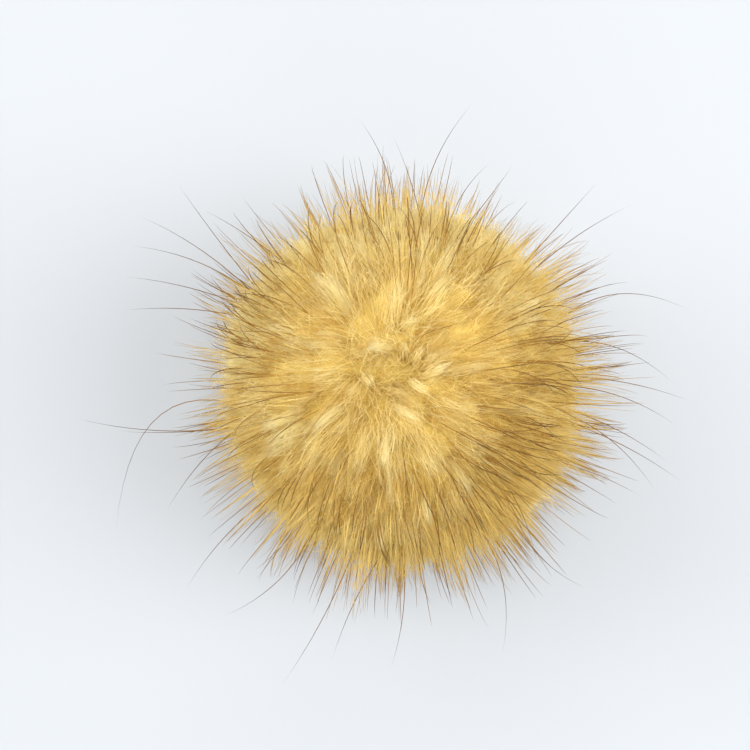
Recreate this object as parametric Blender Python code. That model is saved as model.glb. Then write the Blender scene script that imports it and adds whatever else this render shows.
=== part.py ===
"""A golden fur pom pom, about 11 cm across its guard hairs, resting on a flat surface.

It is one solid: a lumpy ball of underfur with a small flat spot where it rests, and pointed
locks of guard hair drawn out of the ball's own faces. The fur parts at a crown near the top and
lies away from it on every side. Low locks come down onto the surface and run level along it.
Units are metres, +Z is up, and the origin is the middle of the flat spot.
"""

import itertools
import math
import random

import bmesh
import bpy
from mathutils import Matrix, Vector, noise
from mathutils.bvhtree import BVHTree
from mathutils.kdtree import KDTree

MM = 0.001
UP = Vector((0, 0, 1))

# The ball of underfur.
BALL_RADIUS = 43 * MM
BALL_CENTRE = UP * 40.5 * MM
BALL_SUBDIVISIONS = 4
LUMP_HEIGHT = 4.5 * MM
LUMP_SPACING = 16 * MM
CLUMP_HEIGHT = 1.6 * MM  # finer clumps on the lumps
CLUMP_SPACING = 5 * MM
LUMP_STRETCH = 0.4  # lumps run along the lay of the fur, so they vary slower that way

# The crown, where the fur parts, lies this far from the top towards -X.
CROWN_TILT = math.radians(7)

# Short locks, spread evenly over the ball.
LOCK_COUNT = 284
LOCK_LENGTH = (10 * MM, 19 * MM)
LOCK_RINGS = 3
LOCK_WIDTH = (0.6, 0.95)  # at its root, as a share of the face that it grows from
LOWEST_ROOT = 2.2 * MM
LOWEST_CORNER = 0.8 * MM  # of a face that a lock may grow from
LEAN_AT_CROWN = math.radians(46)
LEAN_AT_SIDE = math.radians(10)
CURL = (math.radians(-14), math.radians(34))
SWIRL = math.radians(20)
LENGTH_AT_CROWN = 0.65  # what is left of a lock's length there
LENGTH_AT_FLAT_SPOT = 0.42
FULL_LENGTH_HEIGHT = 20 * MM  # of a lock's root, above which the surface below doesn't shorten it

# Locks stand apart: one that would touch another, or the ball, is drawn again and shorter.
LOCK_GAP = 0.3 * MM
LOCK_TRIES = 14
SHORTER_EACH_TRY = 0.95
NEAREST_FACES = 12  # how many of the ball's faces are tried for each lock
BEAD_SHARE = 0.8  # of a three-sided lock's corner radius that its neighbours keep clear of

# Long single hairs that stand clear of the rest. Each has its bearing from +X seen from above, how
# high its root lies on the ball, its length, how it rises or falls and how it bends sideways.
STRAY_COLUMNS = ("bearing_deg", "root_height_deg", "length_mm", "rise_deg", "bend_deg")
STRAYS = (
    (184, 4, 39, 2, -20),
    (151, 10, 34, 2, 12),
    (145, 16, 37, 8, -16),
    (137, 22, 35, 12, 8),
    (98, 12, 29, 14, 36),
    (76, 18, 33, 12, -32),
    (47, 8, 30, 4, 16),
    (39, 14, 33, 8, -8),
    (16, 8, 35, 0, -28),
    (359, 6, 31, -4, -24),
    (343, 12, 31, 0, -20),
    (314, 2, 28, -6, -16),
    (292, 10, 31, -2, 24),
    (269, 4, 29, -4, 12),
    (249, 12, 37, 2, -16),
    (222, 4, 30, -2, 12),
)
STRAY_RINGS = 5
STRAY_RADIUS = 0.5 * MM  # from its middle to a corner at the root

SEED = 11
GOLDEN_ANGLE = math.pi * (3 - math.sqrt(5))
CREASE = math.radians(50)
TINY = 1e-6
FUR_COLOUR = (0.74, 0.48, 0.14, 1)
FUR_ROUGHNESS = 0.9


def clear_scene():
    for obj in list(bpy.data.objects):
        bpy.data.objects.remove(obj)


def fur_material():
    material = bpy.data.materials.new("golden fur")
    material.use_nodes = True
    shader = material.node_tree.nodes["Principled BSDF"]
    shader.inputs["Base Color"].default_value = FUR_COLOUR
    shader.inputs["Roughness"].default_value = FUR_ROUGHNESS
    shader.inputs["Metallic"].default_value = 0
    return material


def crown():
    return Matrix.Rotation(-CROWN_TILT, 3, "Y") @ UP


def away_from_crown(outward):
    """The direction across the surface in which the fur lies where this is the way out."""
    along = outward * outward.dot(crown()) - crown()
    return along.normalized() if along.length > TINY else Vector((1, 0, 0))


def ball_of_underfur():
    """A ball with soft lumps that run away from the crown, pressed flat where it rests."""
    bm = bmesh.new()
    bmesh.ops.create_icosphere(bm, subdivisions=BALL_SUBDIVISIONS, radius=BALL_RADIUS)
    for vert in bm.verts:
        outward = vert.co.normalized()
        from_crown = crown() * outward.dot(crown()) * BALL_RADIUS
        place = vert.co - from_crown * (1 - LUMP_STRETCH)
        lump = LUMP_HEIGHT * noise.noise(place / LUMP_SPACING)
        clump = CLUMP_HEIGHT * noise.noise(place / CLUMP_SPACING)
        vert.co += BALL_CENTRE + outward * (lump + clump)
        vert.co.z = max(vert.co.z, 0)
    resting = [face for face in bm.faces if all(vert.co.z == 0 for vert in face.verts)]
    bmesh.ops.dissolve_faces(bm, faces=resting, use_verts=True)
    bm.normal_update()
    return bm


def even_directions(count):
    """Directions spread evenly over the ball above its flat spot, in a spiral from top to bottom."""
    lowest = (LOWEST_ROOT - BALL_CENTRE.z) / BALL_RADIUS
    for index in range(count):
        height = 1 - (1 - lowest) * (index + 0.5) / count
        across = math.sqrt(1 - height * height)
        turn = index * GOLDEN_ANGLE
        yield Vector((across * math.cos(turn), across * math.sin(turn), height))


def stray_directions(strays):
    """The direction from the ball's middle to each stray's root."""
    for stray in strays:
        bearing = math.radians(stray["bearing_deg"])
        height = math.radians(stray["root_height_deg"])
        level = Vector((math.cos(bearing), math.sin(bearing), 0))
        yield level * math.cos(height) + UP * math.sin(height)


def faces_for(bm, directions):
    """The free triangle of the ball nearest to each direction, with none beside another."""
    standing = [face for face in bm.faces if min(vert.co.z for vert in face.verts) > LOWEST_CORNER]
    tree = KDTree(len(standing))
    for index, face in enumerate(standing):
        tree.insert(face.calc_center_median(), index)
    tree.balance()
    taken = set()
    chosen = []
    for direction in directions:
        for _, index, _ in tree.find_n(BALL_CENTRE + direction * BALL_RADIUS, NEAREST_FACES):
            face = standing[index]
            beside = {other for edge in face.edges for other in edge.link_faces}
            if not beside & taken:
                taken.add(face)
                chosen.append(face)
                break
    return chosen


def lock_shape(face, chance, shortening):
    """How one short lock leans, curls and how long it is, from where it grows."""
    root = face.calc_center_median()
    away = away_from_crown(face.normal)
    height = max((root - BALL_CENTRE).normalized().dot(crown()), 0)
    lean = LEAN_AT_SIDE + (LEAN_AT_CROWN - LEAN_AT_SIDE) * height
    clear = min(root.z / FULL_LENGTH_HEIGHT, 1)
    length = chance.uniform(*LOCK_LENGTH) * shortening
    length *= LENGTH_AT_FLAT_SPOT + (1 - LENGTH_AT_FLAT_SPOT) * clear
    length *= 1 - (1 - LENGTH_AT_CROWN) * height**4
    return {
        "direction": face.normal * math.cos(lean) + away * math.sin(lean),
        "length": length,
        "curl_axis": face.normal.cross(away),
        "curl": chance.uniform(*CURL) * clear,
        "swirl": chance.uniform(-SWIRL, SWIRL),
    }


def stray_shape(face, stray):
    """How one long stray hair runs, from its row of the table."""
    root = face.calc_center_median()
    level = Vector((root.x, root.y, 0)).normalized()
    rise = math.radians(stray["rise_deg"])
    return {
        "direction": level * math.cos(rise) + UP * math.sin(rise),
        "length": stray["length_mm"] * MM,
        "curl_axis": UP,
        "curl": math.radians(stray["bend_deg"]),
        "swirl": 0,
    }


def lock_sections(face, root_share, rings, direction, length, curl_axis, curl, swirl):
    """The corners of a lock at its root, at each ring and at its tip.

    It tapers and curls as it goes, and rests level where it meets the surface.
    """
    normal = face.normal.copy()
    centre = face.calc_center_median()
    corners = [(vert.co - centre) * root_share for vert in face.verts]
    bend = Matrix.Rotation(curl / rings, 3, curl_axis) @ Matrix.Rotation(swirl / rings, 3, normal)
    sections = [[centre + corner for corner in corners]]
    for ring in range(1, rings + 2):
        centre = centre + direction * length / (rings + 1)
        direction = bend @ direction
        turn = normal.rotation_difference(direction)
        width = 1 - ring / (rings + 1)
        section = [turn @ corner * width for corner in corners]
        lowest = centre.z + min(offset.z for offset in section)
        if lowest < 0:
            centre.z -= lowest
            direction = Vector((direction.x, direction.y, 0)).normalized()
        sections.append([centre + offset for offset in section])
    return sections


def beads_along(sections):
    """Balls that hold a lock from halfway to its first ring on, each a centre and a radius."""
    middles = [sum(section, Vector()) / len(section) for section in sections]
    radii = [(section[0] - middle).length for section, middle in zip(sections, middles, strict=True)]
    for lower, upper in itertools.pairwise(zip(middles, radii, strict=True)):
        for share in (0.5, 1):
            yield lower[0].lerp(upper[0], share), lower[1] + (upper[1] - lower[1]) * share


def stands_apart(sections, beads, underfur):
    """Whether a lock keeps its gap from the others' beads and, past its root, from the ball."""
    for centre, radius in beads_along(sections):
        for other, other_radius in beads:
            if (centre - other).length < (radius + other_radius) * BEAD_SHARE + LOCK_GAP:
                return False
    for corner in itertools.chain(*sections[1:]):
        nearest, normal, _, _ = underfur.find_nearest(corner)
        if (corner - nearest).dot(normal) < LOCK_GAP:
            return False
    return True


def locks_on(bm):
    """Each lock as the face that it grows from and its sections, the long strays first."""
    chance = random.Random(SEED)
    strays = [dict(zip(STRAY_COLUMNS, row, strict=True)) for row in STRAYS]
    faces = faces_for(bm, [*stray_directions(strays), *even_directions(LOCK_COUNT)])
    underfur = BVHTree.FromBMesh(bm)
    locks = []
    beads = []
    for face, stray in zip(faces, strays):
        share = STRAY_RADIUS / (face.verts[0].co - face.calc_center_median()).length
        sections = lock_sections(face, share, STRAY_RINGS, **stray_shape(face, stray))
        locks.append((face, sections))
        beads.extend(beads_along(sections))
    for face in faces[len(strays) :]:
        for attempt in range(LOCK_TRIES):
            share = chance.uniform(*LOCK_WIDTH)
            shape = lock_shape(face, chance, SHORTER_EACH_TRY**attempt)
            sections = lock_sections(face, share, LOCK_RINGS, **shape)
            if stands_apart(sections, beads, underfur):
                locks.append((face, sections))
                beads.extend(beads_along(sections))
                break
    return locks


def draw_out(bm, face, sections):
    """Draws a face out through the sections of a lock, to its tip."""
    root, *rings, tip = sections
    bmesh.ops.inset_individual(bm, faces=[face], thickness=LOCK_GAP)
    for vert, corner in zip(face.verts, root, strict=True):
        vert.co = corner
    for section in rings:
        face = bmesh.ops.extrude_discrete_faces(bm, faces=[face])["faces"][0]
        for vert, corner in zip(face.verts, section, strict=True):
            vert.co = corner
    bmesh.ops.poke(bm, faces=[face])["verts"][0].co = tip[0]


def pom_pom():
    bm = ball_of_underfur()
    for face, sections in locks_on(bm):
        draw_out(bm, face, sections)
    mesh = bpy.data.meshes.new("pom_pom")
    bm.to_mesh(mesh)
    bm.free()
    mesh.materials.append(fur_material())
    mesh.shade_smooth()
    mesh.set_sharp_from_angle(angle=CREASE)
    return bpy.data.objects.new("pom_pom", mesh)


def main():
    clear_scene()
    collection = bpy.data.collections.new("pom pom")
    bpy.context.scene.collection.children.link(collection)
    collection.objects.link(pom_pom())


main()
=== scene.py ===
"""The looks of a golden fur pom pom, in metres, with +Z up and the origin under the ball.

The ball is a lumpy core of felted underfur under tens of thousands of fine fibres, which gather
in wisps, some of them cream. Curly frizz lies loose over them. Guard hairs with brown tips and
finer awn hairs gather in pointed tufts. Single dark hairs reach past the tufts or lie over the
upper half, and a few long hairs stand clear. Each strand is a thin closed spindle. Its colour runs
from root to tip along v of its map, and u holds its tone, from dark to pale, which in the underfur
also carries painted light and shade.
"""

import math

import bpy
import numpy as np
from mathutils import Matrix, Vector, noise

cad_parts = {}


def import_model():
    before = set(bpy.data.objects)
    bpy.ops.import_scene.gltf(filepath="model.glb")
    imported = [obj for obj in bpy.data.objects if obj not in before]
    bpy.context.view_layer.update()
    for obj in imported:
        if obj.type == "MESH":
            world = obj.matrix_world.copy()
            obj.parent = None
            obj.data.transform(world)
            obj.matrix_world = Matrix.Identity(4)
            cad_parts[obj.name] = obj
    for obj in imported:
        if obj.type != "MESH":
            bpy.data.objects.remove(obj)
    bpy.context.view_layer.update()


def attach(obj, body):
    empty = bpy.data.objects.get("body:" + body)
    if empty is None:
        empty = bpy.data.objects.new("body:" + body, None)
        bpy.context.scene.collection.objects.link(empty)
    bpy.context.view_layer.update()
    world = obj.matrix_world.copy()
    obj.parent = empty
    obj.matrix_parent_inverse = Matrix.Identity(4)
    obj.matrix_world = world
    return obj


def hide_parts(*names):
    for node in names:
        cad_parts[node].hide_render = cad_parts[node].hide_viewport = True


MM = 0.001
UP = np.array((0.0, 0.0, 1.0))
CENTRE = UP * 40.5 * MM
CROWN_TILT = math.radians(7)
CROWN = np.array((-math.sin(CROWN_TILT), 0.0, math.cos(CROWN_TILT)))
SEED = 5
GOLDEN_ANGLE = math.pi * (3 - math.sqrt(5))
ASKEW = UP + (0.013, 0.007, 0.0)  # nearly up, but along no strand
UNEVEN = (0.75, 1.25)  # least and most, against a strand's usual size

# The fur's own large-scale form. Within the whorl the fur lies every way, in patches.
SHEAF_COUNT = 300
SWIRL = math.radians(30)
SWIRL_SPACING = 0.55  # of slow turns in the lay of the fur, in ball radii
WHORL = math.radians(25)
WHORL_SPACING = 0.2
WHORL_STRENGTH = 0.8  # of the fur's drift there
PETALS_ROUND = 2.4  # how finely the pale petals of fur divide round the crown
PETALS_ALONG = 1.5  # and from the crown down
PETAL_BEND = 0.9
PETAL_LEVEL = 0.4  # how pale the fur would be without them, from -1 to 1
PETAL_VARIETY = 0.9
PETALS_AT_SIDE = 0.2  # how far they still show at the sides
PARTING_WIDTH = 0.19  # of the partings between petals, painted dark as shade, in the noise that draws them
PARTING_DEPTH = 2.5
FLOOR_CLEARANCE = 0.35 * MM
SPLAY = 0.45  # how far fur that the floor stops is pressed outwards, against down

# The core that shows between fibres.
CORE_RADIUS = 40.3 * MM
CORE_SUBDIVISIONS = 6
CORE_PETAL = 1.2 * MM
CORE_CLUMP = 0.4 * MM
CORE_CLUMP_SPACING = 0.075
CORE_VALLEY = 0.9 * MM
CORE_LOWEST = 0.1 * MM

# Underfur. Reach is from the ball's middle to a fibre's tip, and travel is along the surface.
WISP_COUNT = 2320
FIBRES_A_WISP = 15
WHORL_CROWDING = 1.9  # of wisps in the whorl, against those elsewhere
WISP_ROOT_SPREAD = 1.4 * MM
WISP_TURN = 0.25  # of the lay, in radians
UNDERFUR_INNER = 38 * MM
UNDERFUR_REACH = 44.9 * MM
REACH_SPREAD = 0.5 * MM
RUFFLED_AT_SIDE = 0.3  # of how ruffled the crown is
PETAL_HEIGHT = 1.9 * MM
VALLEY_DEPTH = 2.2 * MM
TRAVEL_AT_CROWN = 12 * MM
TRAVEL_AT_SIDE = 4 * MM
TRAVEL_IN_WHORL = 0.4  # of the travel just outside it
CREAM_SHARE = 0.055
CREAM_AT_SIDE = 0.2  # of that share
CREAM_AT_CROWN = 3.0
CREAM_CROWDING = 2.5  # of fibres in a cream wisp, against those in another
CREAM_SHORTEST = 0.6  # of a cream wisp's length, so that it ends in a point
CREAM_RISE = 1.5 * MM
CREAM_GATHERING = (0.86, 0.98)  # how far its fibres draw together at the tip
WISP_GATHERING = (0.35, 0.9)
ASTRAY_SHARE = 0.12
ASTRAY_GATHERING = 0.1
ASTRAY_REACH = 3.5 * MM  # more than the rest, at most
ASTRAY_TURN = 1.2  # of the lay, in radians
ASTRAY_BOW = 2 * MM
FIBRE_TURN = 0.16
FIBRE_REACH_SPREAD = 0.6 * MM
FIBRE_BOW = 0.5 * MM
FIBRE_RADIUS = 0.057 * MM
FIBRE_POINTS = 5
FIBRE_PIECES = 4

# The underfur's tone, from 0 for dark to 1 for pale, and how far it differs from part to part. Some of it is
# painted light and shade.
UNDERFUR_TONE = 0.48
REGION_TONES = 0.14
SHEAF_TONES = 0.05
WISP_TONES = 0.06
FIBRE_TONES = 0.04
PETAL_TONE_AND_PARTING_SHADE = 0.42  # more on a petal, the fur's own paler patches, and less in a parting, as painted shade
VALLEY_SHADE_TONE = 0.2  # painted shade: less in a valley between sheaves
BUNCH_TONE = 0.05  # less where guard hairs crowd
CREAM_TONE = 0.5  # more in a cream wisp
ASTRAY_TONE = 0.1
LIGHT_AND_SHADE_BY_SIDE = np.array((-0.24, 0.28, 0.05))  # painted light and shade: tone more towards each of +X, +Y and +Z, so paler to -X, +Y and up and darker to +X and -Y

# Long curly fibres that lie loose over the rest.
FRIZZ_COUNT = 2200
FRIZZ_TRAVEL = (5 * MM, 13 * MM)
FRIZZ_CURL = (0.25 * MM, 0.9 * MM)
FRIZZ_RISE = 1.6 * MM  # above its wisp, at most
FRIZZ_BOW = 1.5 * MM
FRIZZ_TURN = 0.9
FRIZZ_TONE = 0.4  # more than its wisp's, at most
FRIZZ_RADIUS = 0.05 * MM
FRIZZ_POINTS = 10

# Tufts of guard hair, and where their tips are.
TUFT_COUNT = 330
TUFT_INNER = 39.5 * MM
TUFT_REACH = (48 * MM, 59 * MM)
TUFT_REACH_IN_BUNCH = 8.5 * MM  # more
TUFT_REACH_AT_CROWN = (47 * MM, 51 * MM)
TUFT_TRAVEL_AT_CROWN = 17 * MM
TUFT_TRAVEL_AT_SIDE = 4 * MM
TUFT_TURN = 0.15  # of the lay, in radians
THINNED_AT_CROWN = 0.78  # of the guard hairs at the sides

# Finer guard hairs between the underfur and the longest tufts.
AWN_COUNT = 2500
AWN_REACH = (47 * MM, 55 * MM)
AWN_LENGTH = 0.8  # of the way to their reach
AWN_GATHERING = (0.4, 1)
AWN_BOW = 0.9 * MM
AWN_TONE = 0.92
AWN_TONE_IN_BUNCH = 0.12  # less
AWN_RADIUS = 0.068 * MM
AWN_POINTS = 6

# Guard hairs in the tufts, and the loose ones among them.
GUARD_COUNT = 2200
GUARD_SHORTEST = 0.55  # of their tuft's length
GUARD_GATHERING = (0.85, 1)
GUARD_BOW = 0.4 * MM
GUARD_TONE = 0.6
GUARD_TONE_IN_BUNCH = 0.3  # less
GUARD_TONE_IF_SHORT = 1.1  # more, for the whole length
LOOSE_SHARE = 0.2
LOOSE_GATHERING = (0, 0.3)
LOOSE_BOW = 1.1 * MM
GUARD_RADIUS = 0.11 * MM
GUARD_POINTS = 8

# Dark hairs that stand singly: overhairs past the tufts, and others that lie over the upper half.
OVERHAIR_COUNT = 300
OVERHAIR_REACH = (55 * MM, 66 * MM)
OVERHAIR_GATHERING = (0, 0.15)
OVERHAIR_BOW = 1.1 * MM
OVERHAIR_TONE = 0.3
OVERHAIR_RADIUS = 0.12 * MM
LYING_COUNT = 240
LYING_REACH = (47 * MM, 50.5 * MM)
LYING_TRAVEL = (12 * MM, 20 * MM)
LYING_TURN = 0.16
LYING_BOW = 1.2 * MM
LYING_TONE = 0.02
LYING_RADIUS = 0.155 * MM
LYING_SPAN = (0.57, 0.92)  # of the cosine of their roots' angle from the crown
LYING_OUT_OF_BUNCH = 0.07  # how likely they are there, against 1 more in a bunch

# Where guard hairs crowd together and are darkest, seen from the ball's middle.
BUNCH_COLUMNS = ("bearing_deg", "height_deg", "spread_deg", "strength")
BUNCHES = (
    (-6, 20, 22, 0.9),
    (-48, 34, 20, 0.9),
    (152, 20, 17, 1.0),
    (-130, 14, 24, 0.6),
    (-95, 10, 20, 0.6),
    (35, 16, 18, 0.7),
    (92, 16, 24, 0.6),
    (122, 16, 16, 0.5),
    (-165, 12, 16, 0.7),
    (-60, 4, 24, 0.4),
    (-42, 46, 16, 1.0),
    (5, 47, 13, 0.5),
    (55, 38, 13, 0.5),
    (168, 40, 13, 0.4),
    (-80, 38, 12, 0.3),
)

# Long hairs that stand clear: where each leaves the ball and where its tip is.
LONG_COLUMNS = ("root_bearing", "root_height", "tip_bearing", "tip_reach_mm", "tip_z_mm", "bend_mm")
LONG_HAIRS = (
    (-165, 4, -174, 82, 44, 5),
    (-165, 2, -170.5, 71, 41, 2),
    (-171, 8, -153, 80, 40, -28),
    (151, 14, 147.5, 77, 50, -4),
    (150, 10, 153, 76, 47, -6),
    (150, 18, 138.5, 74, 54, 1),
    (135, 24, 139, 65, 52, -2),
    (153, 4, 158.5, 75, 42, -3),
    (156, 6, 165, 72, 44, -3),
    (93, 20, 99.5, 67, 54, -6),
    (76, 50, 92, 58, 66, -3),
    (83, 16, 75.5, 72, 52, 6),
    (72, 24, 68, 58, 54, 4),
    (71, 34, 62.5, 60, 56, -1),
    (43, 16, 45.5, 70, 50, 0),
    (39, 18, 37.5, 72, 52, 3),
    (19, 8, 14, 75, 46, 14),
    (14, 8, 0, 68, 46, 9),
    (2, 14, -3.5, 72, 46, 3),
    (-1, 8, -8.5, 70, 42, 5),
    (-9, 16, -16.5, 69, 46, 3),
    (-13, 12, -19.5, 74, 46, 3),
    (-10, 10, -23, 69, 44, 6),
    (-29, 14, -25, 66, 42, 2),
    (-45, 46, -53.5, 55, 54, 4),
    (-46, 12, -47.5, 69, 38, -8),
    (-64, 24, -69.5, 72, 40, 9),
    (-90, 12, -92, 71, 36, 4),
    (-105, 14, -111.5, 80, 40, 3),
    (-110, 12, -111, 62, 38, 0),
    (-93, 8, -104, 71, 36, -3),
    (-122, 6, -127.5, 73, 38, 8),
    (-138, 10, -136.5, 74, 38, -4),
    (-166, 10, -151.5, 67, 40, -4),
)
LONG_ROOT = 39 * MM  # from the ball's middle
LONG_RISE = 2 * MM  # at the middle of a hair
LONG_TONE = 0.05
LONG_POINTS = 14
LONG_RADIUS = 0.15 * MM

# Strands' colours, for the darkest and the palest: how far along a strand, and a linear colour.
UNDERFUR_DARK = ((0, (0.74, 0.51, 0.1)), (0.5, (0.9, 0.72, 0.24)), (1, (0.95, 0.84, 0.44)))
UNDERFUR_PALE = ((0, (0.89, 0.74, 0.28)), (0.5, (0.95, 0.86, 0.5)), (1, (0.96, 0.9, 0.64)))
GUARD_DARK = (
    (0, (0.8, 0.54, 0.13)),
    (0.4, (0.6, 0.37, 0.06)),
    (0.75, (0.28, 0.14, 0.02)),
    (1, (0.16, 0.08, 0.02)),
)
GUARD_PALE = (
    (0, (0.9, 0.75, 0.3)),
    (0.5, (0.8, 0.61, 0.2)),
    (0.8, (0.5, 0.33, 0.09)),
    (1, (0.32, 0.2, 0.05)),
)
DARK_HAIR_DARK = (
    (0, (0.6, 0.36, 0.06)),
    (0.25, (0.25, 0.12, 0.02)),
    (0.6, (0.09, 0.04, 0.01)),
    (1, (0.05, 0.03, 0.01)),
)
DARK_HAIR_PALE = (
    (0, (0.78, 0.52, 0.13)),
    (0.4, (0.48, 0.28, 0.05)),
    (0.75, (0.26, 0.13, 0.02)),
    (1, (0.14, 0.08, 0.02)),
)

# A strand's width from its root on, against its widest, and its map.
ROOT_WIDTH = 0.55
WIDENING = 2.5  # over its whole length
U_STEP = 0.0012  # between its sides
U_SPAN = (0.004, 0.99)
V_SPAN = (0.003, 0.997)

# The felted core: honey tones that follow a noise, kept darker than the fibres as painted shade where it
# shows between them.
FELT_AND_SHADE_COLOURS = ((0.3, (0.46, 0.3, 0.06)), (0.55, (0.55, 0.39, 0.1)), (0.8, (0.62, 0.48, 0.14)))
FELT_TONE_SCALE = 160
FELT_FIBRE_SCALE = 1400
FELT_BUMP = 0.4 * MM

# The stage: a floor, a sky from level up to straight overhead, and square lamps.
FLOOR_SIZE = 6
FLOOR_COLOUR = (0.394, 0.411, 0.431, 1)
SKY_COLOURS = ((0, (0.96, 0.95, 0.94)), (0.3, (0.9, 0.9, 0.9)), (1, (0.6, 0.61, 0.62)))
LAMP_COLUMNS = ("name", "place", "size", "watts")
LAMPS = (
    ("overhead", (0, 0.1, 2.2), 0.8, 24.8),
    ("right", (0.9, -0.1, 1), 0.9, 12.2),
    ("left", (-0.8, 0.5, 1), 0.9, 5.4),
    ("low right", (1.3, 0, 0.4), 0.7, 8),
    ("low left", (-1.3, 0.2, 0.4), 0.7, 11.5),
    ("low back", (0, 1.3, 0.4), 0.7, 6),
    ("low front", (0, -1.3, 0.4), 0.7, 3.5),
)

# The camera looks down from the photo's side, with the ball a little right of and below the middle.
CAMERA_DISTANCE = 0.447
CAMERA_ELEVATION = math.radians(84)
CAMERA_LENS = 85
AIM_RIGHT = -6.4 * MM
AIM_UP = 2.6 * MM


def unit(vectors):
    return vectors / np.linalg.norm(vectors, axis=-1, keepdims=True)


def column(values):
    """One value a strand, shaped to scale its points."""
    return np.asarray(values)[:, None, None]


def even_directions(count, lowest=-0.94):
    """Directions spread evenly over the ball down to the lowest height, in a spiral from the top."""
    order = np.arange(count)
    height = 1 - (1 - lowest) * (order + 0.5) / count
    across = np.sqrt(1 - height**2)
    turn = order * GOLDEN_ANGLE
    return np.stack((across * np.cos(turn), across * np.sin(turn), height), axis=1)


def soft_noise(places, spacing, shift):
    """Smooth noise from -1 to 1 at each place."""
    offset = Vector((shift, 2 * shift, 3 * shift))
    return np.array([noise.noise(Vector(place) / spacing + offset) for place in places])


def smooth_step(share):
    """0 below 0, 1 above 1, and smooth between."""
    inside = np.clip(share, 0, 1)
    return inside * inside * (3 - 2 * inside)


def out_of_whorl(outward):
    """0 at the crown, rising to 1 outside the whorl."""
    return smooth_step(np.arccos(np.clip(outward @ CROWN, -1, 1)) / WHORL)


def lay_of(outward):
    """Which way the fur lies: away from the crown with slow turns, and any way in the whorl."""
    along = unit(outward * (outward @ CROWN)[:, None] - CROWN + (1e-6, 0, 0))
    turn = SWIRL * soft_noise(outward, SWIRL_SPACING, 3)
    settled = turned(along, outward, turn)
    drift = np.stack([soft_noise(outward, WHORL_SPACING, shift) for shift in (11, 23, 37)], axis=1)
    drift = unit(drift - outward * np.sum(drift * outward, axis=1, keepdims=True) + (1e-6, 0, 0))
    share = out_of_whorl(outward)[:, None]
    return unit(settled * share + drift * (1 - share) * WHORL_STRENGTH)


def turned(along, outward, angle):
    """Each lay direction turned round its way out by an angle."""
    side = np.cross(outward, along)
    return along * np.cos(angle)[:, None] + side * np.sin(angle)[:, None]


def crown_share(outward):
    """1 at the crown, falling to 0 at the sides and below."""
    return np.clip(outward @ CROWN, 0, 1)


def steps(points, share=1):
    """How far along a path its points are, from 0 to 1, or to a share of that for each path."""
    return np.linspace(0, 1, points)[None, :, None] * np.reshape(share, (-1, 1, 1))


def curves(outward, along, inner, reach, travel, points, rise=1.7, laying=1.35, share=1):
    """Paths from inner to reach that lie over along the surface as they rise, or a first share of them."""
    t = steps(points, share)
    radius = column(inner) + column(reach - inner) * (1 - (1 - t) ** rise)
    angle = column(travel / reach) * t**laying
    return CENTRE + radius * (outward[:, None] * np.cos(angle) + along[:, None] * np.sin(angle))


def gathered(paths, guides, strength, power=1.3, share=1):
    """Paths drawn towards their guides, more so towards the tip."""
    t = steps(paths.shape[1], share)
    return paths + (guides - paths) * column(strength) * t**power


def sideways(paths, rng):
    """A way at random across each path."""
    run = unit(paths[:, -1] - paths[:, 0])
    return unit(np.cross(run, rng.normal(size=(len(paths), 3))))[:, None]


def waved(paths, rng, height, turns):
    """Paths with a wave to one side that grows towards the tip, and each its own phase."""
    t = steps(paths.shape[1])
    side = sideways(paths, rng)
    phase = column(rng.uniform(0, 2 * math.pi, len(paths)))
    wave = np.sin(2 * math.pi * column(turns) * t + phase) - np.sin(phase)
    return paths + side * wave * column(height) * t


def bowed(paths, rng, height):
    """Paths that bow to one side and come to their tip off line."""
    return paths + sideways(paths, rng) * column(height) * steps(paths.shape[1]) ** 2


def rested(paths):
    """Paths that come down onto the floor and run level along it, pressed outwards."""
    height = paths[:, :, 2]
    depth = np.clip(FLOOR_CLEARANCE * 3 - height, 0, None)
    level = paths[:, :, :2] / np.maximum(np.linalg.norm(paths[:, :, :2], axis=2), 1 * MM)[:, :, None]
    paths[:, :, :2] += level * depth[:, :, None] * SPLAY
    settled = FLOOR_CLEARANCE * (1 + 2 * np.exp(-depth / (2 * FLOOR_CLEARANCE)))
    paths[:, :, 2] = np.where(depth > 0, settled, height)
    return paths


def spindle_faces(rings):
    """The triangles and quads of one closed three-sided spindle: its root, its rings and its tip."""
    root, last = 0, 1 + 3 * (rings - 1)
    tip = last + 3
    triangles = []
    quads = []
    for turn in range(3):
        beside = (turn + 1) % 3
        triangles.append((root, 1 + beside, 1 + turn))
        triangles.append((tip, last + turn, last + beside))
        for low in range(1, last, 3):
            quads.append((low + turn, low + beside, low + 3 + beside, low + 3 + turn))
    return np.array(triangles), np.array(quads)


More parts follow.
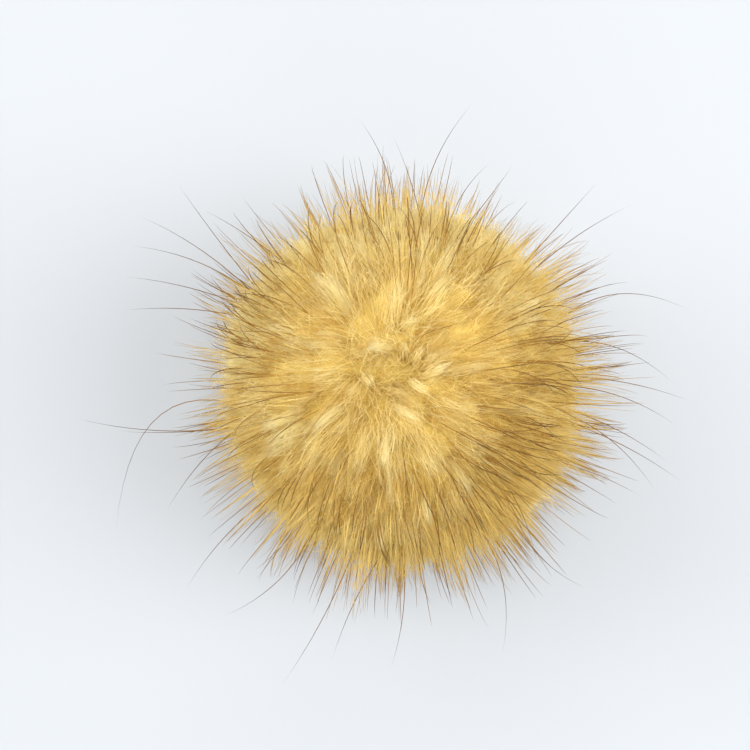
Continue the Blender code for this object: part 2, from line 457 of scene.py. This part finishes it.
def strand_mesh(name, paths, radius, taper, tones):
    """Closed three-sided spindles along paths, with each one's tone in u and its length in v."""
    count, points, _ = paths.shape
    rings = points - 2
    t = np.linspace(0, 1, points)
    run = unit(np.gradient(paths, axis=1)[:, 1:-1])
    first = unit(np.cross(run, unit(np.cross(run[:, :1], ASKEW))))
    second = np.cross(run, first)
    width = radius[:, None] * np.clip(ROOT_WIDTH + WIDENING * t[1:-1], 0, 1) * (1 - t[1:-1] ** taper)
    sides = []
    for turn in range(3):
        angle = math.tau * turn / 3
        around = first * math.cos(angle) + second * math.sin(angle)
        sides.append(paths[:, 1:-1] + around * width[:, :, None])
    ring_places = np.stack(sides, axis=2).reshape(count, rings * 3, 3)
    places = np.concatenate((paths[:, :1], ring_places, paths[:, -1:]), axis=1)
    a_strand = places.shape[1]
    triangles, quads = spindle_faces(rings)
    shift = (np.arange(count) * a_strand)[:, None, None]
    triangles = (triangles[None] + shift).reshape(-1, 3)
    quads = (quads[None] + shift).reshape(-1, 4)
    corners = np.concatenate((triangles.ravel(), quads.ravel()))
    starts = np.concatenate((np.arange(len(triangles)) * 3, len(triangles) * 3 + np.arange(len(quads)) * 4))
    around_u = np.concatenate(((1,), np.tile((0, 1, 2), rings), (1,))) * U_STEP
    along_v = np.concatenate(((t[0],), np.repeat(t[1:-1], 3), (t[-1],)))
    u = np.clip(tones, *U_SPAN)[:, None] + around_u[None]
    v = np.broadcast_to(np.clip(along_v, *V_SPAN)[None], u.shape)
    map_places = np.stack((u, v), axis=2).reshape(-1, 2)
    mesh = bpy.data.meshes.new(name)
    mesh.vertices.add(count * a_strand)
    mesh.vertices.foreach_set("co", places.ravel().astype(np.float32))
    mesh.loops.add(len(corners))
    mesh.loops.foreach_set("vertex_index", corners.astype(np.int32))
    mesh.polygons.add(len(starts))
    mesh.polygons.foreach_set("loop_start", starts.astype(np.int32))
    mesh.uv_layers.new(name="OFBake")
    mesh.uv_layers["OFBake"].data.foreach_set("uv", map_places[corners].ravel().astype(np.float32))
    mesh.update(calc_edges=True)
    mesh.shade_smooth()
    mesh.validate()
    return mesh


def strands(name, paths, radius, taper, tones, material):
    """A piece of the fur."""
    piece = bpy.data.objects.new(name, strand_mesh(name, paths, radius, taper, tones))
    piece.data.materials.append(material)
    bpy.context.scene.collection.objects.link(piece)
    as_fur(piece)


def as_fur(piece):
    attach(piece, "root")
    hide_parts("pom_pom")


def ramp(nodes, stops):
    """A colour ramp with stops of a place and a linear colour."""
    made = nodes.new("ShaderNodeValToRGB")
    elements = made.color_ramp.elements
    while len(elements) < len(stops):
        elements.new(0.5)
    for element, (place, colour) in zip(elements, stops, strict=True):
        element.position = place
        element.color = (*colour, 1)
    return made


def strand_material(name, dark_stops, pale_stops, roughness, glow):
    """Fur whose colour runs from root to tip between a dark and a pale run by each strand's tone."""
    material = bpy.data.materials.new(name)
    material.use_nodes = True
    nodes, links = material.node_tree.nodes, material.node_tree.links
    nodes.clear()
    places = nodes.new("ShaderNodeUVMap")
    places.uv_map = "OFBake"
    parts = nodes.new("ShaderNodeSeparateXYZ")
    links.new(places.outputs["UV"], parts.inputs["Vector"])
    mix = nodes.new("ShaderNodeMix")
    mix.data_type = "RGBA"
    links.new(parts.outputs["X"], mix.inputs["Factor"])
    for stops, socket in ((dark_stops, 6), (pale_stops, 7)):
        run = ramp(nodes, stops)
        links.new(parts.outputs["Y"], run.inputs["Fac"])
        links.new(run.outputs["Color"], mix.inputs[socket])
    colour = mix.outputs[2]
    surface = nodes.new("ShaderNodeBsdfPrincipled")
    surface.inputs["Roughness"].default_value = roughness
    surface.inputs["Specular IOR Level"].default_value = 0.15
    links.new(colour, surface.inputs["Base Color"])
    through = nodes.new("ShaderNodeBsdfTranslucent")
    links.new(colour, through.inputs["Color"])
    both = nodes.new("ShaderNodeMixShader")
    both.inputs["Fac"].default_value = glow
    links.new(surface.outputs["BSDF"], both.inputs[1])
    links.new(through.outputs["BSDF"], both.inputs[2])
    output = nodes.new("ShaderNodeOutputMaterial")
    links.new(both.outputs["Shader"], output.inputs["Surface"])
    return material


def felt_material():
    """The core: matted fibres in uneven honey tones, darkened as painted shade between the fibres, with fine
    fibrous bumps.
    """
    material = bpy.data.materials.new("felted underfur")
    material.use_nodes = True
    nodes, links = material.node_tree.nodes, material.node_tree.links
    surface = nodes["Principled BSDF"]
    surface.inputs["Roughness"].default_value = 0.9
    surface.inputs["Specular IOR Level"].default_value = 0.2
    places = nodes.new("ShaderNodeTexCoord")
    tones = nodes.new("ShaderNodeTexNoise")
    tones.inputs["Scale"].default_value = FELT_TONE_SCALE
    tones.inputs["Detail"].default_value = 6
    tones.inputs["Roughness"].default_value = 0.65
    links.new(places.outputs["Object"], tones.inputs["Vector"])
    run = ramp(nodes, FELT_AND_SHADE_COLOURS)
    links.new(tones.outputs["Fac"], run.inputs["Fac"])
    links.new(run.outputs["Color"], surface.inputs["Base Color"])
    fibres = nodes.new("ShaderNodeTexNoise")
    fibres.inputs["Scale"].default_value = FELT_FIBRE_SCALE
    fibres.inputs["Detail"].default_value = 3
    links.new(places.outputs["Object"], fibres.inputs["Vector"])
    bump = nodes.new("ShaderNodeBump")
    bump.inputs["Strength"].default_value = 0.5
    bump.inputs["Distance"].default_value = FELT_BUMP
    links.new(fibres.outputs["Fac"], bump.inputs["Height"])
    links.new(bump.outputs["Normal"], surface.inputs["Normal"])
    return material


def core(crests):
    """The felted ball under the fibres, raised in petals and sheaves and flat where it rests."""
    bpy.ops.mesh.primitive_ico_sphere_add(subdivisions=CORE_SUBDIVISIONS, radius=1)
    piece = bpy.context.object
    piece.name = piece.data.name = "underfur_core"
    outward = unit(np.array([vert.co for vert in piece.data.vertices]))
    clumps = soft_noise(outward, CORE_CLUMP_SPACING, 2)
    radius = CORE_RADIUS + CORE_PETAL * petals(outward) + CORE_CLUMP * clumps
    radius -= CORE_VALLEY * valley_share(outward, crests)[1]
    places = CENTRE + outward * radius[:, None]
    places[:, 2] = np.maximum(places[:, 2], CORE_LOWEST)
    piece.data.vertices.foreach_set("co", places.ravel().astype(np.float32))
    piece.data.shade_smooth()
    piece.data.materials.append(felt_material())
    as_fur(piece)


def valley_share(outward, sheaves):
    """The sheaf each direction belongs to, and 0 in its middle rising to 1 in the valley round it."""
    owner, away = nearest(outward, sheaves)
    return owner, np.clip(away / math.sqrt(4 / SHEAF_COUNT), 0, 1.2) ** 2


def bunching(outward):
    """How strongly guard hairs crowd at each direction, from 0 to about 1."""
    total = np.zeros(len(outward))
    for row in BUNCHES:
        bunch = dict(zip(BUNCH_COLUMNS, row, strict=True))
        middle = direction_of(bunch["bearing_deg"], bunch["height_deg"])
        away = np.degrees(np.arccos(np.clip(outward @ middle, -1, 1)))
        total += bunch["strength"] * np.exp(-((away / bunch["spread_deg"]) ** 2))
    return np.clip(total, 0, 1)


def direction_of(bearing_deg, height_deg):
    bearing, height = math.radians(bearing_deg), math.radians(height_deg)
    return np.array(
        (math.cos(bearing) * math.cos(height), math.sin(bearing) * math.cos(height), math.sin(height))
    )


def nearest(outward, centres):
    """The nearest centre to each direction, and how far it is in radians."""
    alike = outward @ centres.T
    owner = np.argmax(alike, axis=1)
    return owner, np.arccos(np.clip(alike[np.arange(len(owner)), owner], -1, 1))


def petals(outward):
    """From -1 in the partings, painted dark as shade, that run out from the crown and bend to 1 on the palest
    petals.
    """
    side = unit(np.cross(UP + (0.3, 0.2, 0), CROWN))
    front = np.cross(CROWN, side)
    turn = np.arctan2(outward @ front, outward @ side) + PETAL_BEND * soft_noise(outward, 0.8, 5)
    fall = np.arccos(np.clip(outward @ CROWN, -1, 1)) + 0.25 * soft_noise(outward, 0.3, 8)
    across = np.stack((PETALS_ROUND * np.cos(turn), PETALS_ROUND * np.sin(turn), PETALS_ALONG * fall), axis=1)
    near = PETALS_AT_SIDE + (1 - PETALS_AT_SIDE) * crown_share(outward)
    parting = np.exp(-((soft_noise(across, 1, 13) / PARTING_WIDTH) ** 2))
    form = PETAL_VARIETY * soft_noise(across * 3, 1, 17) - PARTING_DEPTH * parting
    return np.clip(PETAL_LEVEL + form * near, -1, 1)


def scattered(outward, rng, spread):
    """Directions moved at random by about this share of a radius."""
    return unit(outward + rng.normal(size=outward.shape) * spread)


def crowded_directions(count, rng, crowding):
    """Even directions, of which those outside the whorl are thinned out."""
    pool = even_directions(count)
    kept = 1 / crowding + (1 - 1 / crowding) * (1 - out_of_whorl(pool))
    return scattered(pool[rng.uniform(size=count) < kept], rng, 0.02)


def laying_travel(outward, at_crown, at_side):
    """How far fur lies over at each direction: most round the whorl, less inside it and at the sides."""
    share = crown_share(outward) ** 1.2
    inside = TRAVEL_IN_WHORL + (1 - TRAVEL_IN_WHORL) * out_of_whorl(outward)
    return (at_side + (at_crown - at_side) * share) * inside


def grow_sheaves(rng):
    """Where the sheaves of underfur grow, how far each reaches, and its middle path."""
    sheaves = scattered(even_directions(SHEAF_COUNT), rng, 0.05)
    reach = UNDERFUR_REACH + rng.normal(0, REACH_SPREAD, SHEAF_COUNT)
    travel = laying_travel(sheaves, TRAVEL_AT_CROWN, TRAVEL_AT_SIDE)
    inner = np.full(SHEAF_COUNT, UNDERFUR_INNER)
    return sheaves, reach, curves(sheaves, lay_of(sheaves), inner, reach, travel, FIBRE_POINTS)


def grow_wisps(rng, sheaves, sheaf_reach, sheaf_guides):
    """Where the wisps grow, which are cream, and each one's reach, travel, tone and middle path."""
    outward = crowded_directions(round(WISP_COUNT * WHORL_CROWDING), rng, WHORL_CROWDING)
    count = len(outward)
    lay = turned(lay_of(outward), outward, rng.normal(0, WISP_TURN, count))
    owner, valley = valley_share(outward, sheaves)
    in_whorl = 1 - out_of_whorl(outward)
    petal = petals(outward)
    creamier = CREAM_AT_SIDE + (CREAM_AT_CROWN - CREAM_AT_SIDE) * crown_share(outward) ** 4
    cream = rng.uniform(size=count) < CREAM_SHARE * creamier
    ruffled = RUFFLED_AT_SIDE + (1 - RUFFLED_AT_SIDE) * crown_share(outward)
    depth = VALLEY_DEPTH * valley * ruffled
    reach = sheaf_reach[owner] + PETAL_HEIGHT * petal - depth
    reach += rng.normal(0, REACH_SPREAD, count) * ruffled
    reach += np.where(cream, CREAM_RISE, 0)
    travel = laying_travel(outward, TRAVEL_AT_CROWN, TRAVEL_AT_SIDE) * rng.uniform(0.7, 1.3, count)
    sheaf_tone = REGION_TONES * soft_noise(sheaves, 0.4, 9) + rng.normal(0, SHEAF_TONES, SHEAF_COUNT)
    # random tones, and painted shade that makes the valleys between sheaves darker
    tone_and_valley_shade = sheaf_tone[owner] + rng.normal(0, WISP_TONES, count) - VALLEY_SHADE_TONE * valley
    # partly painted shade: darker in the partings
    tone = UNDERFUR_TONE + PETAL_TONE_AND_PARTING_SHADE * petal + tone_and_valley_shade * ruffled
    # painted light and shade: the fur made paler or darker by side
    tone += outward @ LIGHT_AND_SHADE_BY_SIDE - BUNCH_TONE * bunching(outward) + np.where(cream, CREAM_TONE, 0)
    guides = curves(outward, lay, np.full(count, UNDERFUR_INNER), reach, travel, FIBRE_POINTS)
    guides = gathered(guides, sheaf_guides[owner], rng.uniform(0.2, 0.5, count) * (1 - 0.6 * in_whorl))
    guides = waved(guides, rng, rng.uniform(0.2, 0.9, count) * MM, rng.uniform(0.4, 0.9, count))
    return {
        "outward": outward,
        "lay": lay,
        "in_whorl": in_whorl,
        "cream": cream,
        "reach": reach,
        "travel": travel,
        "tone": tone,
        "guides": guides,
    }


def underfur(rng, wisps, material):
    """Fine fibres in wisps, and the wisps in sheaves with valleys between them."""
    fibres = np.where(wisps["cream"], round(FIBRES_A_WISP * CREAM_CROWDING), FIBRES_A_WISP)
    own = np.repeat(np.arange(len(fibres)), fibres)
    total = len(own)
    rng.shuffle(own)
    cream = wisps["cream"][own]
    spread = np.where(cream, 0.5, 1)[:, None] * WISP_ROOT_SPREAD / UNDERFUR_INNER
    outward = scattered(wisps["outward"][own], rng, spread)
    chance = ASTRAY_SHARE * np.where(cream, 0.06, 1 + 0.8 * wisps["in_whorl"][own])
    astray = rng.uniform(size=total) < chance
    lay_turn = rng.normal(0, FIBRE_TURN, total) + np.where(astray, rng.normal(0, ASTRAY_TURN, total), 0)
    reach = wisps["reach"][own] + rng.normal(0, FIBRE_REACH_SPREAD, total)
    reach += np.where(astray & ~cream, rng.uniform(0, ASTRAY_REACH, total), 0)
    travel = wisps["travel"][own] * rng.uniform(*UNEVEN, total)
    inner = UNDERFUR_INNER + rng.uniform(-1, 2.5, total) * MM
    lay = turned(wisps["lay"][own], outward, lay_turn)
    share = np.where(cream, rng.uniform(CREAM_SHORTEST, 1, total), 1)
    paths = curves(outward, lay, inner, reach, travel, FIBRE_POINTS, share=share)
    strength = np.where(cream, rng.uniform(*CREAM_GATHERING, total), rng.uniform(*WISP_GATHERING, total))
    strength = np.where(astray, ASTRAY_GATHERING, strength)
    paths = gathered(paths, wisps["guides"][own], strength, share=share)
    paths = waved(paths, rng, rng.uniform(0.05, 0.35, total) * MM, rng.uniform(0.5, 1.2, total))
    bow = np.where(astray, rng.normal(0, ASTRAY_BOW, total), rng.normal(0, FIBRE_BOW, total))
    paths = rested(bowed(paths, rng, bow))
    tones = wisps["tone"][own] + rng.normal(0, FIBRE_TONES, total) + np.where(astray, ASTRAY_TONE, 0)
    radius = FIBRE_RADIUS * rng.uniform(*UNEVEN, total)
    for index in range(FIBRE_PIECES):
        part = slice(index, None, FIBRE_PIECES)
        strands(f"underfur_{index + 1}", paths[part], radius[part], 2.2, tones[part], material)


def frizz(rng, wisps, material):
    """Long thin curly fibres that lie loose over the wisps, most of them in the whorl and the partings."""
    weight = 0.35 + 1.3 * wisps["in_whorl"] + 0.5 * crown_share(wisps["outward"])
    own = rng.choice(len(weight), FRIZZ_COUNT, p=weight / weight.sum())
    outward = scattered(wisps["outward"][own], rng, 0.03)
    along = turned(wisps["lay"][own], outward, rng.normal(0, FRIZZ_TURN, FRIZZ_COUNT))
    inner = np.full(FRIZZ_COUNT, UNDERFUR_INNER + 2 * MM)
    reach = wisps["reach"][own] + rng.uniform(0, FRIZZ_RISE, FRIZZ_COUNT)
    travel = rng.uniform(*FRIZZ_TRAVEL, FRIZZ_COUNT)
    paths = curves(outward, along, inner, reach, travel, FRIZZ_POINTS, rise=2.6, laying=1.1)
    curl = rng.uniform(*FRIZZ_CURL, FRIZZ_COUNT)
    paths = waved(paths, rng, curl, rng.uniform(1, 2.4, FRIZZ_COUNT))
    paths = rested(bowed(paths, rng, rng.normal(0, FRIZZ_BOW, FRIZZ_COUNT)))
    tones = wisps["tone"][own] + rng.uniform(0, FRIZZ_TONE, FRIZZ_COUNT)
    radius = FRIZZ_RADIUS * rng.uniform(*UNEVEN, FRIZZ_COUNT)
    strands("frizz", paths, radius, 2.6, tones, material)


def grow_tufts(rng):
    """Where the tufts of guard hair grow, how each lies, and how strongly hairs crowd there."""
    outward = scattered(even_directions(TUFT_COUNT), rng, 0.03)
    crown = crown_share(outward) ** 1.5
    crowd = bunching(outward)
    low = TUFT_REACH[0] + (TUFT_REACH_AT_CROWN[0] - TUFT_REACH[0]) * crown
    high = TUFT_REACH[1] + (TUFT_REACH_AT_CROWN[1] - TUFT_REACH[1]) * crown
    lay = turned(lay_of(outward), outward, rng.normal(0, TUFT_TURN, TUFT_COUNT))
    reach = low + (high - low) * rng.uniform(0, 1, TUFT_COUNT)
    lie_over = laying_travel(outward, TUFT_TRAVEL_AT_CROWN, TUFT_TRAVEL_AT_SIDE)
    return {
        "outward": outward,
        "lay": lay,
        "reach": reach + TUFT_REACH_IN_BUNCH * crowd * (1 - crown),
        "travel": lie_over * rng.uniform(0.8, 1.25, TUFT_COUNT),
        "crowd": crowd,
        "open": 1 - THINNED_AT_CROWN * np.sqrt(crown_share(outward)),
    }


def chosen_tufts(rng, tufts, count):
    """A tuft for each hair, most often one where hairs crowd."""
    weight = (0.5 + 1.5 * tufts["crowd"]) * tufts["open"]
    return rng.choice(TUFT_COUNT, count, p=weight / weight.sum())


def hairs_in_tufts(rng, tufts, own, points, reach, travel, share, spread, strength, turn):
    """Paths of hairs that grow round their tufts' roots and draw in to the tufts' middle paths."""
    inner = np.full(len(own), TUFT_INNER)
    shape = {"inner": inner, "points": points, "rise": 1.3, "laying": 1.6, "share": share}
    roots, lay = tufts["outward"][own], tufts["lay"][own]
    guides = curves(roots, lay, reach=tufts["reach"][own], travel=tufts["travel"][own], **shape)
    outward = scattered(roots, rng, spread)
    along = turned(lay, outward, rng.normal(0, turn, len(own)))
    paths = curves(outward, along, reach=reach, travel=travel, **shape)
    return gathered(paths, guides, strength, power=0.8, share=share)


def guard_hairs(rng, tufts, material):
    """Hairs in pointed tufts: the shortest are golden, and the longest end in brown."""
    own = chosen_tufts(rng, tufts, GUARD_COUNT)
    loose = rng.uniform(size=GUARD_COUNT) < LOOSE_SHARE
    share = rng.uniform(GUARD_SHORTEST, 1, GUARD_COUNT)
    reach = tufts["reach"][own] * rng.uniform(0.93, 1.03, GUARD_COUNT)
    travel = tufts["travel"][own] * rng.uniform(*UNEVEN, GUARD_COUNT)
    apart = rng.uniform(*LOOSE_GATHERING, GUARD_COUNT)
    strength = np.where(loose, apart, rng.uniform(*GUARD_GATHERING, GUARD_COUNT))
    paths = hairs_in_tufts(rng, tufts, own, GUARD_POINTS, reach, travel, share, 0.05, strength, 0.2)
    bow = np.where(loose, rng.normal(0, LOOSE_BOW, GUARD_COUNT), rng.normal(0, GUARD_BOW, GUARD_COUNT))
    paths = rested(bowed(paths, rng, bow))
    tones = GUARD_TONE - GUARD_TONE_IN_BUNCH * tufts["crowd"][own] + GUARD_TONE_IF_SHORT * (1 - share)
    tones += rng.normal(0, 0.15, GUARD_COUNT)
    radius = GUARD_RADIUS * rng.uniform(*UNEVEN, GUARD_COUNT)
    strands("guard_hairs", paths, radius, 2, tones, material)


def awn_hairs(rng, tufts, material):
    """Finer hairs of middle length, in the tufts and between them."""
    own = chosen_tufts(rng, tufts, AWN_COUNT)
    reach = rng.uniform(*AWN_REACH, AWN_COUNT) * (1 - 0.05 * crown_share(tufts["outward"][own]))
    travel = tufts["travel"][own] * rng.uniform(0.5, 1, AWN_COUNT)
    share = np.full(AWN_COUNT, AWN_LENGTH)
    strength = rng.uniform(*AWN_GATHERING, AWN_COUNT)
    paths = hairs_in_tufts(rng, tufts, own, AWN_POINTS, reach, travel, share, 0.08, strength, 0.3)
    paths = rested(bowed(paths, rng, rng.normal(0, AWN_BOW, AWN_COUNT)))
    tones = AWN_TONE - AWN_TONE_IN_BUNCH * tufts["crowd"][own] + rng.normal(0, 0.12, AWN_COUNT)
    radius = AWN_RADIUS * rng.uniform(0.7, 1.2, AWN_COUNT)
    strands("awn_hairs", paths, radius, 2.2, tones, material)


def overhairs(rng, tufts, material):
    """Single dark hairs that reach past the tufts and curve as they go."""
    own = chosen_tufts(rng, tufts, OVERHAIR_COUNT)
    further = rng.uniform(*OVERHAIR_REACH, OVERHAIR_COUNT) - tufts["reach"][own]
    reach = tufts["reach"][own] + further * tufts["open"][own]
    travel = tufts["travel"][own] * rng.uniform(0.6, 1.5, OVERHAIR_COUNT)
    share = np.ones(OVERHAIR_COUNT)
    strength = rng.uniform(*OVERHAIR_GATHERING, OVERHAIR_COUNT)
    paths = hairs_in_tufts(rng, tufts, own, GUARD_POINTS, reach, travel, share, 0.06, strength, 0.12)
    paths = rested(bowed(paths, rng, rng.normal(0, OVERHAIR_BOW, OVERHAIR_COUNT)))
    tones = OVERHAIR_TONE + rng.normal(0, 0.2, OVERHAIR_COUNT)
    radius = OVERHAIR_RADIUS * rng.uniform(0.75, 1.2, OVERHAIR_COUNT)
    strands("overhairs", paths, radius, 2, tones, material)


def lying_hairs(rng, material):
    """Single dark hairs that lie over the upper half, most of them where guard hairs crowd."""
    pool = scattered(even_directions(20 * LYING_COUNT), rng, 0.02)
    share = crown_share(pool)
    weight = (LYING_OUT_OF_BUNCH + bunching(pool)) * ((share > LYING_SPAN[0]) & (share < LYING_SPAN[1]))
    outward = pool[rng.choice(len(pool), LYING_COUNT, replace=False, p=weight / weight.sum())]
    along = turned(lay_of(outward), outward, rng.normal(0, LYING_TURN, LYING_COUNT))
    inner = np.full(LYING_COUNT, TUFT_INNER)
    reach = rng.uniform(*LYING_REACH, LYING_COUNT)
    travel = rng.uniform(*LYING_TRAVEL, LYING_COUNT)
    paths = curves(outward, along, inner, reach, travel, GUARD_POINTS, rise=3, laying=1.1)
    paths = bowed(paths, rng, rng.normal(0, LYING_BOW, LYING_COUNT))
    tones = LYING_TONE + rng.normal(0, 0.22, LYING_COUNT)
    radius = LYING_RADIUS * rng.uniform(0.7, 1.15, LYING_COUNT)
    strands("lying_hairs", paths, radius, 2, tones, material)


def long_hairs(material):
    """The few hairs that stand clear of the ball."""
    t = np.linspace(0, 1, LONG_POINTS)[:, None]
    paths = []
    for row in LONG_HAIRS:
        hair = dict(zip(LONG_COLUMNS, row, strict=True))
        root = CENTRE + direction_of(hair["root_bearing"], hair["root_height"]) * LONG_ROOT
        level = direction_of(hair["tip_bearing"], 0)
        tip = level * hair["tip_reach_mm"] * MM + UP * hair["tip_z_mm"] * MM
        side = np.cross(UP, level)
        middle = (root + tip) / 2 + side * hair["bend_mm"] * MM + UP * LONG_RISE
        paths.append(root * (1 - t) ** 2 + middle * 2 * t * (1 - t) + tip * t**2)
    count = len(paths)
    tones = np.full(count, LONG_TONE)
    strands("long_hairs", np.array(paths), np.full(count, LONG_RADIUS), 1.6, tones, material)


def stage():
    """A pale floor, a soft sky, lamps above and all round, and the camera over the ball."""
    bpy.ops.mesh.primitive_plane_add(size=FLOOR_SIZE)
    floor = bpy.context.object
    floor.name = "floor"
    material = bpy.data.materials.new("pale floor")
    material.use_nodes = True
    surface = material.node_tree.nodes["Principled BSDF"]
    surface.inputs["Base Color"].default_value = FLOOR_COLOUR
    surface.inputs["Roughness"].default_value = 0.9
    surface.inputs["Specular IOR Level"].default_value = 0.1
    floor.data.materials.append(material)

    world = bpy.data.worlds.new("soft sky")
    world.use_nodes = True
    nodes, links = world.node_tree.nodes, world.node_tree.links
    ways = nodes.new("ShaderNodeTexCoord")
    parts = nodes.new("ShaderNodeSeparateXYZ")
    links.new(ways.outputs["Generated"], parts.inputs["Vector"])
    sky = ramp(nodes, SKY_COLOURS)
    links.new(parts.outputs["Z"], sky.inputs["Fac"])
    links.new(sky.outputs["Color"], nodes["Background"].inputs["Color"])
    bpy.context.scene.world = world

    for row in LAMPS:
        named = dict(zip(LAMP_COLUMNS, row, strict=True))
        lamp = bpy.data.lights.new(named["name"], "AREA")
        lamp.size = named["size"]
        lamp.energy = named["watts"]
        light = bpy.data.objects.new(named["name"], lamp)
        light.location = named["place"]
        light.rotation_euler = (Vector(CENTRE) - light.location).to_track_quat("-Z", "Y").to_euler()
        bpy.context.scene.collection.objects.link(light)

    camera = bpy.data.objects.new("camera", bpy.data.cameras.new("camera"))
    camera.data.lens = CAMERA_LENS
    back = Vector((0, -math.cos(CAMERA_ELEVATION), math.sin(CAMERA_ELEVATION)))
    above = Vector((0, math.sin(CAMERA_ELEVATION), math.cos(CAMERA_ELEVATION)))
    aim = Vector(CENTRE) + Vector((AIM_RIGHT, 0, 0)) + above * AIM_UP
    camera.location = aim + back * CAMERA_DISTANCE
    camera.rotation_euler = (math.pi / 2 - CAMERA_ELEVATION, 0, 0)
    bpy.context.scene.collection.objects.link(camera)
    bpy.context.scene.camera = camera
    bpy.context.scene.view_settings.view_transform = "Standard"


def main():
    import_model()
    rng = np.random.default_rng(SEED)
    fibre = strand_material("underfur", UNDERFUR_DARK, UNDERFUR_PALE, roughness=0.75, glow=0.66)
    guard = strand_material("guard hair", GUARD_DARK, GUARD_PALE, roughness=0.45, glow=0.3)
    dark_hair = strand_material("dark hair", DARK_HAIR_DARK, DARK_HAIR_PALE, roughness=0.6, glow=0.1)
    sheaves, sheaf_reach, sheaf_guides = grow_sheaves(rng)
    core(unit(sheaf_guides[:, FIBRE_POINTS // 2] - CENTRE))
    wisps = grow_wisps(rng, sheaves, sheaf_reach, sheaf_guides)
    underfur(rng, wisps, fibre)
    frizz(rng, wisps, fibre)
    tufts = grow_tufts(rng)
    awn_hairs(rng, tufts, guard)
    guard_hairs(rng, tufts, guard)
    overhairs(rng, tufts, dark_hair)
    lying_hairs(rng, dark_hair)
    long_hairs(dark_hair)
    stage()


main()
